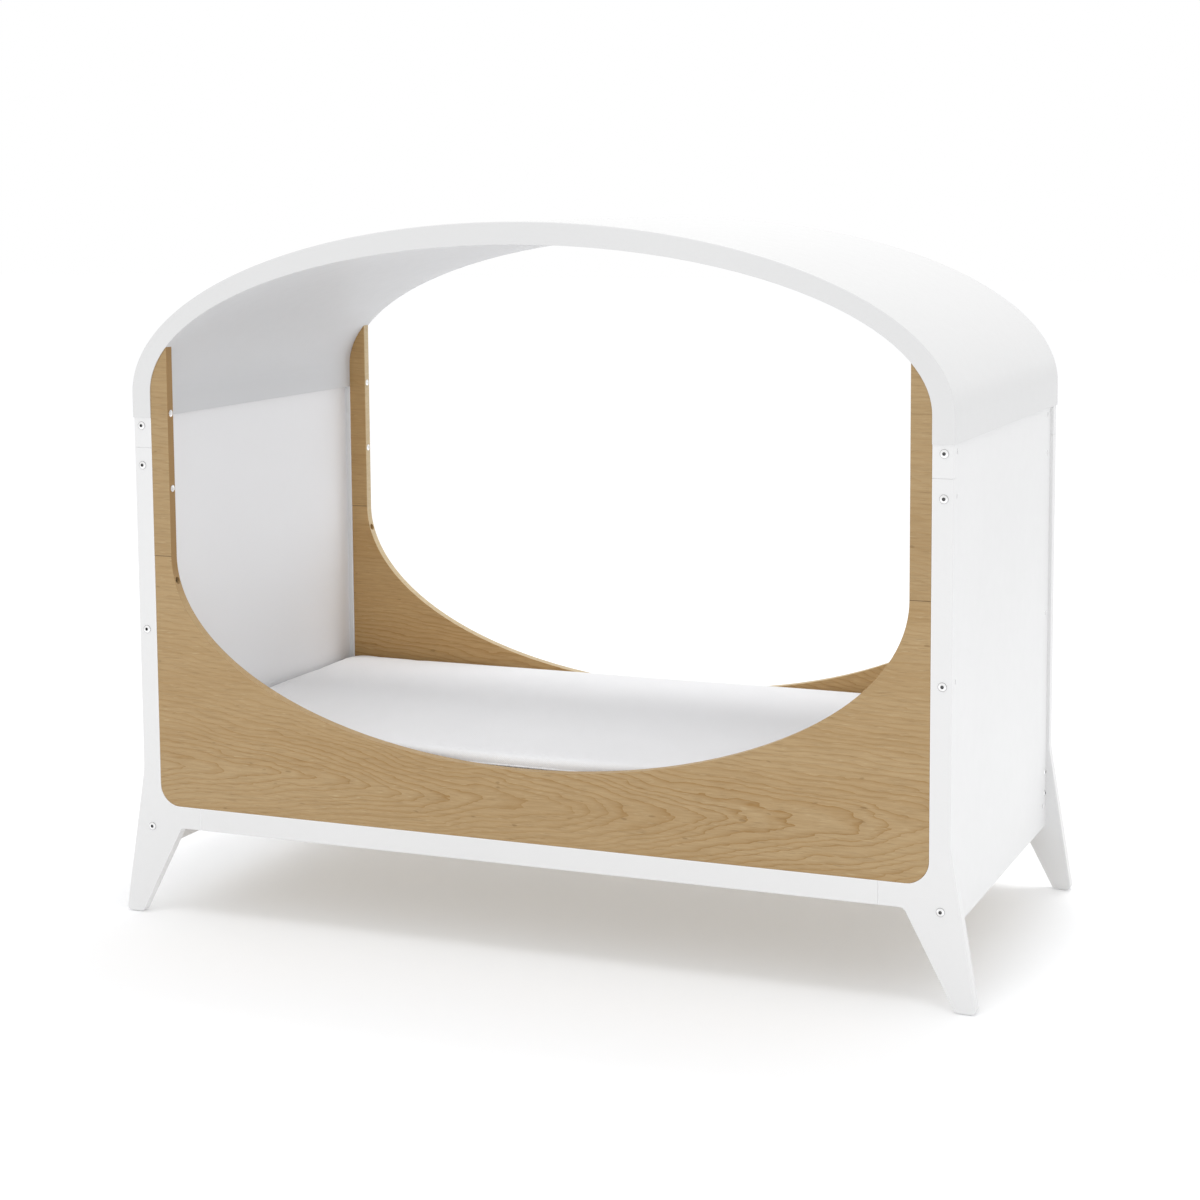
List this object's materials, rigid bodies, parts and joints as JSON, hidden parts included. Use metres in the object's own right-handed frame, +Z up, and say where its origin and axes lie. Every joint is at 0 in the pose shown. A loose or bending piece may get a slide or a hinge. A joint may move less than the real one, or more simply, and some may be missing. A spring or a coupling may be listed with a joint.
{
  "type": "baby cot bed with arched canopy",
  "caption": "Open-sided cot bed: a white arched canopy on splayed posts, curved oak side panels, solid white ends, a slatted base and a mattress",
  "frame": {"origin": "centre of the footprint on the floor, under the foot glides", "axes": "+X along the bed, +Y across the bed to the rear, +Z up"},
  "size_m": [1.5374, 0.744, 1.2209],
  "materials": {
    "canopy_white": "satin moulded plastic, very light warm white",
    "frame_white": "satin white lacquer on board",
    "oak": "matt clear lacquer on light oak veneer, grain along the bed",
    "base_wood": "plain planed pine",
    "slat_wood": "plain birch plywood slats",
    "mattress_fabric": "soft white knitted cover",
    "bolt_steel": "bright nickel plating",
    "zinc_steel": "zinc plating",
    "glide_nylon": "white nylon"
  },
  "bodies": {
    "frame": {"canopy_shell": "canopy_white", "canopy_liner": "canopy_white", "canopy_ribs": "canopy_white", "front_left_leg": "frame_white", "front_right_leg": "frame_white", "rear_left_leg": "frame_white", "rear_right_leg": "frame_white", "front_left_post_block": "frame_white", "front_right_post_block": "frame_white", "rear_left_post_block": "frame_white", "rear_right_post_block": "frame_white", "front_bottom_rail": "frame_white", "rear_bottom_rail": "frame_white", "left_end_panel": "frame_white", "right_end_panel": "frame_white", "front_side_panel": "oak", "rear_side_panel": "oak", "front_left_side_strip": "oak", "front_right_side_strip": "oak", "rear_left_side_strip": "oak", "rear_right_side_strip": "oak", "base_left_end_rail": "base_wood", "base_right_end_rail": "base_wood", "base_front_rail": "base_wood", "base_rear_rail": "base_wood", "base_centre_rail": "base_wood", "base_slats": "slat_wood", "front_post_bolts": "bolt_steel", "rear_post_bolts": "bolt_steel", "barrel_nuts": "bolt_steel", "strip_bolts": "bolt_steel", "side_panel_bolts": "bolt_steel", "base_bolts": "bolt_steel", "threaded_inserts": "zinc_steel", "slat_screws": "zinc_steel", "wooden_dowels": "base_wood", "foot_glides": "glide_nylon"},
    "mattress_body": {"mattress": "mattress_fabric"}
  },
  "joints": [
    {"name": "mattress_lift", "type": "slide", "parent": "frame", "child": "mattress_body", "axis": [0, 0, 1], "range_m": [0, 0.4]}
  ]
}
